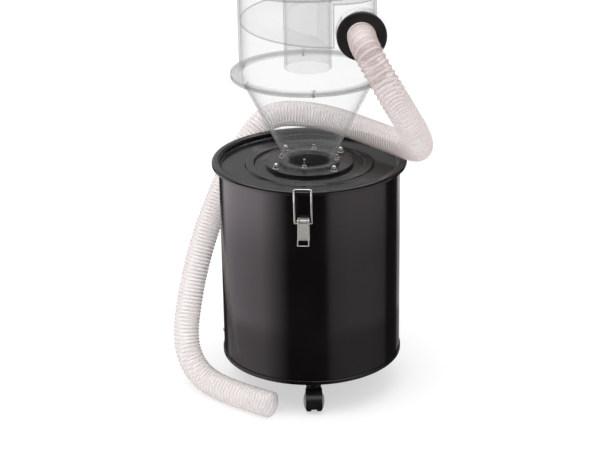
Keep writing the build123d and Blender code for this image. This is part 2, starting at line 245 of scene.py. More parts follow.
def effect(name, inputs, outputs):
    """An empty shader node group with its named sockets, its own input node and its output node."""
    group = bpy.data.node_groups.new(name, "ShaderNodeTree")
    for way, sockets in (("INPUT", inputs), ("OUTPUT", outputs)):
        for socket, kind in sockets:
            group.interface.new_socket(name=socket, in_out=way, socket_type=f"NodeSocket{kind}")
    return group, group.nodes.new("NodeGroupInput"), group.nodes.new("NodeGroupOutput")


def noise(tree, scale, detail=4.0, vector=None):
    """Noise on Object coordinates, or on the vector given; a scale may be a socket."""
    made = node(tree, "ShaderNodeTexNoise", Detail=detail)
    if isinstance(scale, float):
        made.inputs["Scale"].default_value = scale
    else:
        tree.links.new(scale, made.inputs["Scale"])
    tree.links.new(vector or node(tree, "ShaderNodeTexCoord").outputs["Object"], made.inputs["Vector"])
    return made.outputs["Fac"]


def spread(tree, value, low, high, from_low=0.3, from_high=0.7):
    """A value between from_low and from_high, spread between low and high."""
    made = node(tree, "ShaderNodeMapRange", interpolation_type="SMOOTHSTEP")
    made.inputs["From Min"].default_value = from_low
    made.inputs["From Max"].default_value = from_high
    tree.links.new(value, made.inputs["Value"])
    for socket, limit in (("To Min", low), ("To Max", high)):
        if isinstance(limit, (int, float)):
            made.inputs[socket].default_value = limit
        else:
            tree.links.new(limit, made.inputs[socket])
    return made.outputs["Result"]


def blend(tree, factor, first, second):
    """Two colours mixed by a factor; each is a socket or a plain colour."""
    made = node(tree, "ShaderNodeMix", data_type="RGBA")
    factor_in, first_in, second_in = made.inputs["Factor"], made.inputs[6], made.inputs[7]
    for socket, value in ((factor_in, factor), (first_in, first), (second_in, second)):
        if isinstance(value, (tuple, float)):
            socket.default_value = value
        else:
            tree.links.new(value, socket)
    return made.outputs[2]


def mottled(tree, scale, first, second):
    """Two colours that take turns in soft patches."""
    return blend(tree, spread(tree, noise(tree, scale), 0.0, 1.0), first, second)


# Marks that handling leaves on clear plastic: soft smears, and a few fine scratches round the body.
smears, given, given_back = effect(
    "smears", [("Clean", "Float"), ("Smeared", "Float"), ("Scale", "Float")], [("Roughness", "Float")]
)
patches = noise(smears, given.outputs["Scale"], detail=5.0)
streak_turn = node(smears, "ShaderNodeMapping", Scale=(30, 30, 900), Rotation=(0.2, 0.1, 0))
smears.links.new(node(smears, "ShaderNodeTexCoord").outputs["Object"], streak_turn.inputs["Vector"])
scratches = noise(smears, 1.0, detail=2.0, vector=streak_turn.outputs["Vector"])
streaks = spread(smears, scratches, 0.0, 0.08, from_low=0.68, from_high=0.74)
total = node(smears, "ShaderNodeMath", operation="ADD")
smears.links.new(spread(smears, patches, given.outputs["Clean"], given.outputs["Smeared"]), total.inputs[0])
smears.links.new(streaks, total.inputs[1])
smears.links.new(total.outputs[0], given_back.inputs["Roughness"])


def place_effect(tree, group, shader, links, **values):
    """Puts an effect into a material with its values, and feeds the shader's sockets from it."""
    made = node(tree, "ShaderNodeGroup", node_tree=group)
    for name, value in values.items():
        made.inputs[name.replace("_", " ")].default_value = value
    for output, socket in links:
        tree.links.new(made.outputs[output], shader.inputs[socket])
    return made


film, tree, shader = new_finish("clear_film", IOR=1.45, Specular_IOR_Level=0.35)
crest = node(tree, "ShaderNodeAttribute", attribute_name="crest").outputs["Fac"]
edge = node(tree, "ShaderNodeLayerWeight", Blend=0.32)
slanted = spread(tree, edge.outputs["Facing"], 0.24, 0.60, from_low=0.0, from_high=1.0)
milky = spread(tree, crest, slanted, 0.66, from_low=0.0, from_high=1.0)
tree.links.new(milky, shader.inputs["Alpha"])
cloudy = mottled(tree, 22.0, (0.97, 0.945, 0.94, 1), (0.94, 0.895, 0.89, 1))
# Painted shade: high on the hose, by the inlet collar, the film turns a dark brownish pink. It stands in
# for the shade and the dark collar seen through the film there.
height = node(tree, "ShaderNodeSeparateXYZ")
tree.links.new(node(tree, "ShaderNodeTexCoord").outputs["Object"], height.inputs["Vector"])
painted_collar_shade = spread(tree, height.outputs["Z"], 0.0, 1.0, from_low=0.55, from_high=0.74)
ridged = blend(tree, crest, cloudy, (0.93, 0.86, 0.85, 1))
tree.links.new(blend(tree, painted_collar_shade, ridged, (0.66, 0.565, 0.55, 1)), shader.inputs["Base Color"])
place_effect(tree, smears, shader, [("Roughness", "Roughness")], Clean=0.24, Smeared=0.38, Scale=45.0)
hose_film.data.materials.append(film)

copper, tree, shader = new_finish("copper_wire", Metallic=0.55)
coppery = mottled(tree, 60.0, (0.72, 0.56, 0.52, 1), (0.62, 0.50, 0.47, 1))
tree.links.new(coppery, shader.inputs["Base Color"])
tree.links.new(spread(tree, noise(tree, 150.0), 0.3, 0.5), shader.inputs["Roughness"])
hose_wire.data.materials.append(copper)
for piece in (hose_film, hose_wire):
    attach(piece, "drum")
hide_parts("hose")

# The drum and its lid
# Rolled and pressed steel sheet, powder-coated a gloss black. The coat has the fine waviness of
# orange peel, soft scuffs where hands and hose rub it, and a little settled dust on what is level.
coat, given, given_back = effect(
    "coat",
    [("Colour", "Color"), ("Worn", "Color"), ("Scale", "Float"), ("Smooth", "Float"), ("Dull", "Float"),
     ("Scuffs", "Float"), ("Peel Scale", "Float"), ("Peel", "Float")],
    [("Colour", "Color"), ("Roughness", "Float"), ("Normal", "Vector")],
)
patches = noise(coat, given.outputs["Scale"], detail=5.0)
rub_turn = node(coat, "ShaderNodeMapping", Scale=(16, 16, 140), Rotation=(0.5, 0.35, 0.2))
coat.links.new(node(coat, "ShaderNodeTexCoord").outputs["Object"], rub_turn.inputs["Vector"])
rubbed = noise(coat, 1.0, detail=6.0, vector=rub_turn.outputs["Vector"])
rubs = spread(coat, rubbed, 0.0, given.outputs["Scuffs"], from_low=0.60, from_high=0.72)
total = node(coat, "ShaderNodeMath", operation="ADD", use_clamp=True)
coat.links.new(spread(coat, patches, given.outputs["Smooth"], given.outputs["Dull"]), total.inputs[0])
coat.links.new(rubs, total.inputs[1])
coat.links.new(total.outputs[0], given_back.inputs["Roughness"])
worn = spread(coat, patches, 0.0, 1.0, from_low=0.35, from_high=0.75)
shade = blend(coat, worn, given.outputs["Colour"], given.outputs["Worn"])
coat.links.new(shade, given_back.inputs["Colour"])
bump = node(coat, "ShaderNodeBump", Distance=0.0002)
coat.links.new(given.outputs["Peel"], bump.inputs["Strength"])
coat.links.new(noise(coat, given.outputs["Peel Scale"], detail=2.0), bump.inputs["Height"])
coat.links.new(bump.outputs["Normal"], given_back.inputs["Normal"])

dust, given, given_back = effect(
    "settled_dust", [("Clean", "Color"), ("Dust", "Color"), ("Amount", "Float")], [("Colour", "Color")]
)
facing = node(dust, "ShaderNodeSeparateXYZ")
dust.links.new(node(dust, "ShaderNodeNewGeometry").outputs["Normal"], facing.inputs["Vector"])
lying = node(dust, "ShaderNodeMath", operation="MULTIPLY")
level_share = spread(dust, facing.outputs["Z"], 0.0, given.outputs["Amount"], from_low=0.7, from_high=1.0)
dust.links.new(level_share, lying.inputs[0])
dust.links.new(spread(dust, noise(dust, 55.0, detail=8.0), 0.25, 1.0), lying.inputs[1])
dusted = blend(dust, lying.outputs[0], given.outputs["Clean"], given.outputs["Dust"])
dust.links.new(dusted, given_back.inputs["Colour"])
dust_colour = (0.30, 0.28, 0.26, 1)


def coated(name, amount=0.0, **values):
    """A coated or moulded surface, with settled dust over its colour."""
    made, tree, shader = new_finish(name)
    skin = place_effect(tree, coat, shader, [("Roughness", "Roughness"), ("Normal", "Normal")], **values)
    settled = place_effect(
        tree, dust, shader, [("Colour", "Base Color")], Dust=dust_colour, Amount=amount
    )
    tree.links.new(skin.outputs["Colour"], settled.inputs["Clean"])
    return made, tree, shader


def dress(nodes, material):
    """Gives CAD nodes their finish."""
    for name in nodes:
        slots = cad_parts[name].data.materials
        slots.clear()
        slots.append(material)


enamel, _, _ = coated(
    "black_enamel", 0.0, Colour=(0.0030, 0.0024, 0.0028, 1), Worn=(0.0045, 0.0038, 0.0042, 1),
    Scale=9.0, Smooth=0.13, Dull=0.19, Scuffs=0.06, Peel_Scale=700.0, Peel=0.10,
)
dress(["drum_shell", "drum_base"], enamel)

lid_enamel, _, _ = coated(
    "lid_enamel", 0.02, Colour=(0.005, 0.0045, 0.005, 1), Worn=(0.008, 0.0075, 0.008, 1),
    Scale=14.0, Smooth=0.12, Dull=0.18, Scuffs=0.08, Peel_Scale=900.0, Peel=0.15,
)
dress(["lid"], lid_enamel)

# The screw in the drum's side
# A plated pan-head screw near the drum's foot on the left, driven in from outside.
screw_azimuth = radians(-90)
screw_z = 0.108
screw_head_radius = 0.0042
screw_head_height = 0.0021
drum_radius = 0.175
fine_weld = 1e-7


def add_turned(bm, profile, place, steps=32):
    """Spins a profile of radius and height points round an axis, and sets it in its place."""
    before = set(bm.verts)
    chain = [bm.verts.new((radius, 0, height)) for radius, height in profile]
    edges = [bm.edges.new(pair) for pair in zip(chain, chain[1:])]
    bmesh.ops.spin(
        bm, geom=chain + edges, axis=(0, 0, 1), cent=(0, 0, 0), steps=steps, angle=tau, use_merge=True
    )
    made = [v for v in bm.verts if v not in before]
    bmesh.ops.remove_doubles(bm, verts=made, dist=fine_weld)
    made = [v for v in bm.verts if v not in before]
    bmesh.ops.transform(bm, matrix=place, verts=made)
    faces = list(dict.fromkeys(face for v in made for face in v.link_faces))
    bmesh.ops.recalc_face_normals(bm, faces=faces)


def dome(radius, height, points=7):
    """The profile of a domed cap on a flat foot."""
    bends = [pi / 2 * i / points for i in range(1, points)]
    arc = [(radius * cos(bend), height * sin(bend)) for bend in bends]
    return [(0, 0), (radius, 0)] + arc + [(0, height)]


def facing_out(azimuth, radius, height):
    """A place on the drum's side whose Z axis points outwards."""
    out = Vector((sin(azimuth), -cos(azimuth), 0))
    turn = out.to_track_quat("Z", "Y").to_matrix().to_4x4()
    return Matrix.Translation(out * radius + Vector((0, 0, height))) @ turn


# Plated steel: two greys in soft patches, under fine drawn lines that roughen it.
grain, given, given_back = effect(
    "steel_grain",
    [("Bright", "Color"), ("Dark", "Color"), ("Smooth", "Float"), ("Dull", "Float")],
    [("Colour", "Color"), ("Roughness", "Float"), ("Normal", "Vector")],
)
grain_turn = node(grain, "ShaderNodeMapping", Scale=(1500, 1500, 60))
grain.links.new(node(grain, "ShaderNodeTexCoord").outputs["Object"], grain_turn.inputs["Vector"])
drawn = noise(grain, 1.0, detail=3.0, vector=grain_turn.outputs["Vector"])
steely = mottled(grain, 160.0, given.outputs["Bright"], given.outputs["Dark"])
grain.links.new(steely, given_back.inputs["Colour"])
roughened = spread(grain, drawn, given.outputs["Smooth"], given.outputs["Dull"])
grain.links.new(roughened, given_back.inputs["Roughness"])
bump = node(grain, "ShaderNodeBump", Strength=0.15, Distance=0.00005)
grain.links.new(drawn, bump.inputs["Height"])
grain.links.new(bump.outputs["Normal"], given_back.inputs["Normal"])


def plated(name, bright, dark, smooth, dull, metallic=1.0):
    """Plated or stainless steel, drawn or stamped, with a grain along its height."""
    made, tree, shader = new_finish(name, Metallic=metallic)
    place_effect(
        tree, grain, shader, [("Colour", "Base Color"), ("Roughness", "Roughness"), ("Normal", "Normal")],
        Bright=bright, Dark=dark, Smooth=smooth, Dull=dull,
    )
    return made


nut_steel = plated("nut_steel", (0.72, 0.71, 0.69, 1), (0.60, 0.59, 0.57, 1), 0.16, 0.30)
bm = bmesh.new()
add_turned(
    bm, dome(screw_head_radius, screw_head_height), facing_out(screw_azimuth, drum_radius, screw_z)
)
side_screw = link("side_screw", bm)
side_screw.data.materials.append(nut_steel)
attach(side_screw, "drum")

# The seat and its nuts
# A black ring on the lid, held down by four domed nuts on washers, with four studs inside them that
# come up through the cone's foot flange.
seat_top_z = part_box("cone_seat")[1][2]
foot_flange = 0.004
foot_top_z = seat_top_z + foot_flange
washer_radius = 0.0070
washer_top_radius = 0.0067
washer_shoulder = 0.0010
washer_height = 0.0013
seat_nut_circle = 0.077
seat_nut_azimuths = (-55, 37, 127, 217)
seat_nut_turn = 12
seat_nut_across = 0.010
seat_nut_height = 0.0052
cap_radius = 0.0047
cap_height = 0.0050
cap_foot = 0.0062
stud_circle = 0.0535
# How far each stud stands up, by its place in degrees round from the front.
stud_heights = {-10: 0.0175, 80: 0.0105, 170: 0.0105, 260: 0.0085}
stud_washer_share = 0.8
stud_nut_turn = 20
stud_nut_across = 0.008
stud_nut_height = 0.0040
thread_radius = 0.0025
thread_root = 0.00215
thread_pitch = 0.0008
thread_tip = 0.0019
thread_lead = 0.001
broken_share = 0.06

seat_black, _, _ = coated(
    "seat_plastic", 0.03, Colour=(0.008, 0.0075, 0.008, 1), Worn=(0.013, 0.012, 0.0125, 1),
    Scale=20.0, Smooth=0.16, Dull=0.24, Scuffs=0.06, Peel_Scale=1100.0, Peel=0.15,
)
dress(["cone_seat"], seat_black)


def add_hexagon(bm, across, height, place):
    """A hexagonal nut or bolt head with its corners and edges broken."""
    before = set(bm.verts)
    radius = across / 2 / cos(pi / 6)
    made = bmesh.ops.create_cone(
        bm, cap_ends=True, segments=6, radius1=radius, radius2=radius, depth=height
    )["verts"]
    bmesh.ops.translate(bm, verts=made, vec=(0, 0, height / 2))
    edges = list(dict.fromkeys(edge for v in made for edge in v.link_edges))
    bmesh.ops.bevel(
        bm, geom=edges, offset=across * broken_share, offset_type="OFFSET", affect="EDGES", segments=2,
        profile=0.5, material=-1,
    )
    bmesh.ops.transform(bm, matrix=place, verts=[v for v in bm.verts if v not in before])


def standing(azimuth, radius, height, spin=0.0):
    """A place with its Z axis up, azimuth degrees round from the front."""
    turn = Matrix.Rotation(radians(azimuth + spin), 4, "Z")
    spot = Vector((sin(radians(azimuth)) * radius, -cos(radians(azimuth)) * radius, height))
    return Matrix.Translation(spot) @ turn


washer = [
    (0, 0), (washer_radius, 0), (washer_radius, washer_shoulder), (washer_top_radius, washer_height),
    (0, washer_height),
]
bm = bmesh.new()
for azimuth in seat_nut_azimuths:
    add_turned(bm, washer, standing(azimuth, seat_nut_circle, seat_top_z))
    add_hexagon(
        bm, seat_nut_across, seat_nut_height,
        standing(azimuth, seat_nut_circle, seat_top_z + washer_height, seat_nut_turn),
    )
    add_turned(
        bm, dome(cap_radius, cap_height), standing(azimuth, seat_nut_circle, seat_top_z + cap_foot)
    )
seat_nuts = link("seat_nuts", bm)
bm = bmesh.new()
for azimuth, tall in stud_heights.items():
    small_washer = [(radius * stud_washer_share, height) for radius, height in washer]
    add_turned(bm, small_washer, standing(azimuth, stud_circle, foot_top_z))
    add_hexagon(
        bm, stud_nut_across, stud_nut_height,
        standing(azimuth, stud_circle, foot_top_z + washer_height, stud_nut_turn),
    )
    thread = [(0, 0), (thread_radius, 0)]
    for step in range(int((tall - thread_lead) / thread_pitch)):
        height = step * thread_pitch
        thread += [
            (thread_radius, height + thread_pitch / 4), (thread_root, height + thread_pitch * 3 / 4)
        ]
    thread += [(thread_radius, tall - thread_lead), (thread_tip, tall), (0, tall)]
    add_turned(bm, thread, standing(azimuth, stud_circle, foot_top_z), steps=20)
foot_studs = link("foot_studs", bm)
for piece in (seat_nuts, foot_studs):
    piece.data.materials.append(nut_steel)
    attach(piece, "drum")

# The clear cyclone
# Cone, barrel, helical roof, top plate and outlet tube, moulded and cut in clear acrylic 3 to 4 mm
# thick and cemented. Six bolts with nuts hold the cone's flange to the barrel's.
flange_edge = 0.147
foot_edge = 0.060
roof_edge = 0.126
plate_edge = 0.130
no_edge = -1.0
cut_edge_width = 0.0005
cut_edge_cover = 0.42
flange_middle = 0.1385
flange_half_width = 0.0080
flange_grey_cover = 0.28
slant_power = 3.0

# The sheet's cover and colour: its cut edges, at one or two radii, get a painted shade of dark grey in
# place of the darkness their refraction gives, and the flanges are a little greyer and less clear.
sheet, given, given_back = effect(
    "clear_sheet", [("Edge", "Float"), ("Inner Edge", "Float")], [("Colour", "Color"), ("Cover", "Float")]
)
flat = node(sheet, "ShaderNodeMapping", Scale=(1, 1, 0))
sheet.links.new(node(sheet, "ShaderNodeTexCoord").outputs["Object"], flat.inputs["Vector"])
across = node(sheet, "ShaderNodeVectorMath", operation="LENGTH")
sheet.links.new(flat.outputs["Vector"], across.inputs[0])


def at_radius(tree, distance, radius, half_width):
    """One close to a radius, which is a number or a socket, and none elsewhere."""
    hit = node(tree, "ShaderNodeMath", operation="COMPARE")
    tree.links.new(distance, hit.inputs[0])
    if isinstance(radius, float):
        hit.inputs[1].default_value = radius
    else:
        tree.links.new(radius, hit.inputs[1])
    hit.inputs[2].default_value = half_width
    return hit.outputs[0]


def scaled(tree, value, share):
    """A value times a number."""
    made = node(tree, "ShaderNodeMath", operation="MULTIPLY")
    made.inputs[1].default_value = share
    tree.links.new(value, made.inputs[0])
    return made.outputs[0]


def larger(tree, first, second):
    """The larger of two values."""
    made = node(tree, "ShaderNodeMath", operation="MAXIMUM")
    tree.links.new(first, made.inputs[0])
    tree.links.new(second, made.inputs[1])
    return made.outputs[0]


from_axis = across.outputs["Value"]
on_edge = larger(
    sheet,
    at_radius(sheet, from_axis, given.outputs["Edge"], cut_edge_width),
    at_radius(sheet, from_axis, given.outputs["Inner Edge"], cut_edge_width),
)
on_flange = at_radius(sheet, from_axis, flange_middle, flange_half_width)
edge_shade_and_flange_cover = larger(sheet, scaled(sheet, on_edge, cut_edge_cover), scaled(sheet, on_flange, flange_grey_cover))
sheet.links.new(edge_shade_and_flange_cover, given_back.inputs["Cover"])
tint = mottled(sheet, 8.0, (0.47, 0.48, 0.48, 1), (0.39, 0.40, 0.40, 1))
# Painted shade: the dark grey at the cut edges.
sheet.links.new(blend(sheet, on_edge, tint, (0.10, 0.105, 0.105, 1)), given_back.inputs["Colour"])


def clear_plastic(name, edge=no_edge, inner_edge=no_edge, face_cover=0.055, slant_cover=0.50):
    """Clear where it faces the eye and greyer at a slant."""
    made, tree, shader = new_finish(name, IOR=1.49, Specular_IOR_Level=0.5)
    place_effect(tree, smears, shader, [("Roughness", "Roughness")], Clean=0.30, Smeared=0.42, Scale=24.0)
    body = place_effect(
        tree, sheet, shader, [("Colour", "Base Color")], Edge=edge, Inner_Edge=inner_edge
    )
    slant = node(tree, "ShaderNodeMath", operation="POWER")
    slant.inputs[1].default_value = slant_power
    tree.links.new(node(tree, "ShaderNodeLayerWeight", Blend=0.5).outputs["Facing"], slant.inputs[0])
    cover = spread(tree, slant.outputs[0], face_cover, slant_cover, from_low=0.0, from_high=1.0)
    tree.links.new(larger(tree, cover, body.outputs["Cover"]), shader.inputs["Alpha"])
    return made


dress(["cyclone_cone"], clear_plastic("cone_acrylic", flange_edge, foot_edge))
dress(["cyclone_barrel"], clear_plastic("barrel_acrylic", flange_edge))
dress(["helical_roof"], clear_plastic("roof_acrylic", roof_edge, face_cover=0.03, slant_cover=0.36))
dress(["top_plate"], clear_plastic("plate_acrylic", plate_edge))
dress(["outlet_tube"], clear_plastic("tube_acrylic", face_cover=0.11))

joint_z = 0.640
flange_sheet = 0.004
bolt_circle = 0.1385
bolt_azimuths = [3.8 + 60 * count for count in range(6)]
bolt_washer_share = 0.64
bolt_washer_flatness = 0.6
bolt_washer_height = 0.0008
bolt_head_turn = 8
bolt_head_across = 0.0065
bolt_head_height = 0.0022
bolt_nut_turn = 30
bolt_nut_across = 0.0060
bolt_nut_height = 0.0024
bolt_nut_drop = 0.0025
bolt_radius = 0.0015
bolt_tip_radius = 0.0013
bolt_tip = 0.0040
bolt_tip_shoulder = 0.0036

flat_washer = [
    (radius * bolt_washer_share, height * bolt_washer_flatness) for radius, height in washer
]
shank = [
    (0, -bolt_tip), (bolt_tip_radius, -bolt_tip), (bolt_radius, -bolt_tip_shoulder),
    (bolt_radius, 2 * flange_sheet), (0, 2 * flange_sheet),
]
bm = bmesh.new()
for azimuth in bolt_azimuths:
    top = joint_z + flange_sheet
    foot = joint_z - flange_sheet
    add_turned(bm, flat_washer, standing(azimuth, bolt_circle, top))
    add_hexagon(
        bm, bolt_head_across, bolt_head_height,
        standing(azimuth, bolt_circle, top + bolt_washer_height, bolt_head_turn),
    )
    add_turned(bm, shank, standing(azimuth, bolt_circle, foot), steps=16)
    add_hexagon(
        bm, bolt_nut_across, bolt_nut_height,
        standing(azimuth, bolt_circle, foot - bolt_nut_drop, bolt_nut_turn),
    )
flange_bolts = link("flange_bolts", bm)
bolt_zinc = plated(
    "bolt_zinc", (0.80, 0.80, 0.79, 1), (0.70, 0.70, 0.69, 1), 0.30, 0.45, metallic=0.4
)
flange_bolts.data.materials.append(bolt_zinc)
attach(flange_bolts, "drum")

# The collars
# Two cups of moulded black rubber, one over the inlet pipe and one over the outlet tube.
rubber, _, _ = coated(
    "black_rubber", 0.05, Colour=(0.006, 0.0055, 0.0055, 1), Worn=(0.011, 0.0095, 0.0095, 1),
    Scale=35.0, Smooth=0.42, Dull=0.58, Scuffs=0.08, Peel_Scale=1500.0, Peel=0.35,
)
dress(["inlet_collar", "outlet_collar"], rubber)

# The latches
# Two draw latches of stamped stainless sheet. A riveted plate carries a rolled knuckle and its pin.
# A lever with two cheeks swings on the pin, ends in a slotted finger tip, and pulls a wire bail.
satin = plated(
    "latch_sheet", (0.70, 0.68, 0.65, 1), (0.62, 0.60, 0.57, 1), 0.34, 0.50, metallic=0.65
)
wire = plated("bail_wire", (0.74, 0.73, 0.72, 1), (0.66, 0.65, 0.63, 1), 0.14, 0.26)
latch_azimuths = {"front": radians(-4), "rear": radians(176)}
rivet_radius = 0.0024
rivet_height = 0.0011
rivet_levels = (0.381, 0.401)
plate_back = 0.1748
plate_face = 0.177
plate_half_width = 0.011
plate_height = 0.045
plate_over_pin = 0.003
pin_height = 0.411
pin_out = 0.1845
pin_half_length = 0.01185
pin_thick = 0.0020
knuckle_thick = 0.0035
knuckle_half_width = 0.0056
knuckle_bite = 0.0005
lever_sheet = 0.0016
lever_face = 0.1901
lever_half_top = 0.0102
lever_half_foot = 0.01125
tip_out = 0.005
tip_rail = 0.0019
# Heights of the lever: its top edge, the bend at its tip, the slot's two ends, and its foot.
lever_rows = (0.4073, 0.3800, 0.3790, 0.3661, 0.3645)
cheek_back = 0.1795
cheek_back_height = 0.4005
cheek_radius = 0.0050
cheek_steps = 12
latch_bevel = 0.0004
sharp_angle = radians(40)


def add_block(bm, low, high):
    """A block between two corners."""
    made = bmesh.ops.create_cube(bm, size=1.0)["verts"]
    size = Vector(high) - Vector(low)
    middle = (Vector(high) + Vector(low)) / 2
    bmesh.ops.scale(bm, verts=made, vec=size)
    bmesh.ops.translate(bm, verts=made, vec=middle)


def add_rod(bm, radius, half_length, height, out, sides=28):
    """A rod across the latch, at a height and so far out from the drum's axis."""
    across = Matrix.Translation((0, height, out)) @ Matrix.Rotation(pi / 2, 4, "Y")
    bmesh.ops.create_cone(
        bm, cap_ends=True, segments=sides, radius1=radius, radius2=radius, depth=2 * half_length,
        matrix=across,
    )


def lever_panel(bm):
    """The lever's face, with the bent tip and the slot in it, as one sheet with a thickness."""
    rows = len(lever_rows) - 1
    made = bmesh.ops.create_grid(bm, x_segments=3, y_segments=rows, size=1.0)["verts"]
    faces = list(dict.fromkeys(face for v in made for face in v.link_faces))
    middles = [(face, face.calc_center_median()) for face in faces]
    slot = [face for face, middle in middles if abs(middle.x) < 0.1 and 0 < middle.y < 0.5]
    for vertex in made:
        column = round((vertex.co.x + 1) * 1.5)
        row = round((vertex.co.y + 1) / 2 * rows)
        height = lever_rows[row]
        down = (lever_rows[0] - height) / (lever_rows[0] - lever_rows[-1])
        half = lever_half_top + (lever_half_foot - lever_half_top) * down
        bent = max(0.0, lever_rows[1] - height) / (lever_rows[1] - lever_rows[-1])
        side = (-half, tip_rail - half, half - tip_rail, half)[column]
        vertex.co = (side, height, lever_face + tip_out * bent)
    bmesh.ops.delete(bm, geom=slot, context="FACES_ONLY")
    sheet = [f for f in faces if f.is_valid]
    bmesh.ops.recalc_face_normals(bm, faces=sheet)
    bmesh.ops.solidify(bm, geom=sheet, thickness=lever_sheet)


def lever_cheek(bm, side):
    """One cheek: round about the pin, and tapered down to the bend."""
    inner = side * (lever_half_top - lever_sheet)
    bends = [pi * step / cheek_steps for step in range(cheek_steps + 1)]
    face_back = lever_face - lever_sheet / 2
    outline = [(lever_rows[1], face_back), (lever_rows[0], face_back)]
    outline += [
        (pin_height + cheek_radius * sin(bend), pin_out + cheek_radius * cos(bend)) for bend in bends
    ]
    outline.append((cheek_back_height, cheek_back))
    cheek = bm.faces.new([bm.verts.new((inner, height, out)) for height, out in outline])
    grown = bmesh.ops.extrude_face_region(bm, geom=[cheek])["geom"]
    moved = [v for v in grown if isinstance(v, bmesh.types.BMVert)]
    bmesh.ops.translate(bm, verts=moved, vec=(side * lever_sheet, 0, 0))


def finished_latch_piece(name, bm, azimuth, node_name, body):
    """Sets a latch piece on the drum's side, breaks its edges and lets it stand for its node."""
    bmesh.ops.transform(bm, matrix=facing_out(azimuth, 0, 0), verts=bm.verts)
    bmesh.ops.recalc_face_normals(bm, faces=bm.faces)
    piece = link(name, bm, smooth=False)
    broken = piece.modifiers.new("broken_edges", "BEVEL")
    broken.width = latch_bevel
    broken.segments = 2
    broken.limit_method = "ANGLE"
    broken.angle_limit = sharp_angle
    piece.data.materials.append(satin)
    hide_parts(node_name)
    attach(piece, body)


for end, azimuth in latch_azimuths.items():
    bm = bmesh.new()
    plate_top = pin_height + plate_over_pin
    add_block(
        bm, (-plate_half_width, plate_top - plate_height, plate_back),
        (plate_half_width, plate_top, plate_face),
    )
    add_block(
        bm, (-knuckle_half_width, pin_height - knuckle_thick, plate_face - knuckle_bite),
        (knuckle_half_width, pin_height + knuckle_thick, pin_out),
    )
    add_rod(bm, knuckle_thick, knuckle_half_width, pin_height, pin_out)
    add_rod(bm, pin_thick, pin_half_length, pin_height, pin_out)
    finished_latch_piece(f"{end}_latch_plate", bm, azimuth, f"{end}_latch_base", "drum")
    bm = bmesh.new()
    lever_panel(bm)
    for side in (-1, 1):
        lever_cheek(bm, side)
    finished_latch_piece(f"{end}_latch_handle", bm, azimuth, f"{end}_latch_lever", f"{end}_lever")
    dress([f"{end}_latch_bail"], wire)
    bm = bmesh.new()
    for level in rivet_levels:
        add_turned(
            bm, dome(rivet_radius, rivet_height), facing_out(azimuth, plate_face, level), steps=24
        )
    rivets = link(f"{end}_latch_rivets", bm)
    rivets.data.materials.append(nut_steel)
    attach(rivets, "drum")

# The casters
# Three twin-wheel casters: a zinc-plated plate and stem, a black moulded hood, and two wheels with
# a black tread and a grey domed disc that has one shallow ring.
caster_azimuths = {1: 1.0, 2: 121.0, 3: 241.0}
axle_circle = 0.146
axle_z = 0.021
tread_side = 0.0148
disc_blur = 0.0001
ring_radius = 0.0135
ring_floor = 0.0004
ring_top = 0.0010
zinc = plated("zinc_plate", (0.56, 0.56, 0.55, 1), (0.46, 0.46, 0.45, 1), 0.28, 0.45)
hood_black, _, _ = coated(
    "hood_plastic", 0.04, Colour=(0.005, 0.005, 0.0052, 1), Worn=(0.008, 0.008, 0.0083, 1),
    Scale=60.0, Smooth=0.30, Dull=0.42, Scuffs=0.06, Peel_Scale=1600.0, Peel=0.25,
)

# The grey disc lies far out along the axle, and its ring stands round the axle.
disc, given, given_back = effect(
    "wheel_disc", [("Turn", "Vector")], [("Disc", "Float"), ("Colour", "Color"), ("Ring", "Float")]
)
turned_in = node(disc, "ShaderNodeMapping", Location=(0, axle_circle, -axle_z))
disc.links.new(node(disc, "ShaderNodeTexCoord").outputs["Object"], turned_in.inputs["Vector"])
disc.links.new(given.outputs["Turn"], turned_in.inputs["Rotation"])
parts = node(disc, "ShaderNodeSeparateXYZ")
disc.links.new(turned_in.outputs["Vector"], parts.inputs["Vector"])
along = node(disc, "ShaderNodeMath", operation="ABSOLUTE")
disc.links.new(parts.outputs["X"], along.inputs[0])
on_disc = spread(
    disc, along.outputs[0], 0.0, 1.0, from_low=tread_side - disc_blur, from_high=tread_side + disc_blur
)
disc.links.new(on_disc, given_back.inputs["Disc"])
grey = mottled(disc, 120.0, (0.36, 0.36, 0.36, 1), (0.28, 0.28, 0.285, 1))
disc.links.new(grey, given_back.inputs["Colour"])
flat = node(disc, "ShaderNodeCombineXYZ")
for axis in ("Y", "Z"):
    disc.links.new(parts.outputs[axis], flat.inputs[axis])
across = node(disc, "ShaderNodeVectorMath", operation="LENGTH")
disc.links.new(flat.outputs["Vector"], across.inputs[0])
away = node(disc, "ShaderNodeMath", operation="SUBTRACT")
away.inputs[1].default_value = ring_radius
disc.links.new(across.outputs["Value"], away.inputs[0])
off_ring = node(disc, "ShaderNodeMath", operation="ABSOLUTE")
disc.links.new(away.outputs[0], off_ring.inputs[0])
ring_height = spread(disc, off_ring.outputs[0], 0.0, 1.0, from_low=ring_floor, from_high=ring_top)
disc.links.new(ring_height, given_back.inputs["Ring"])


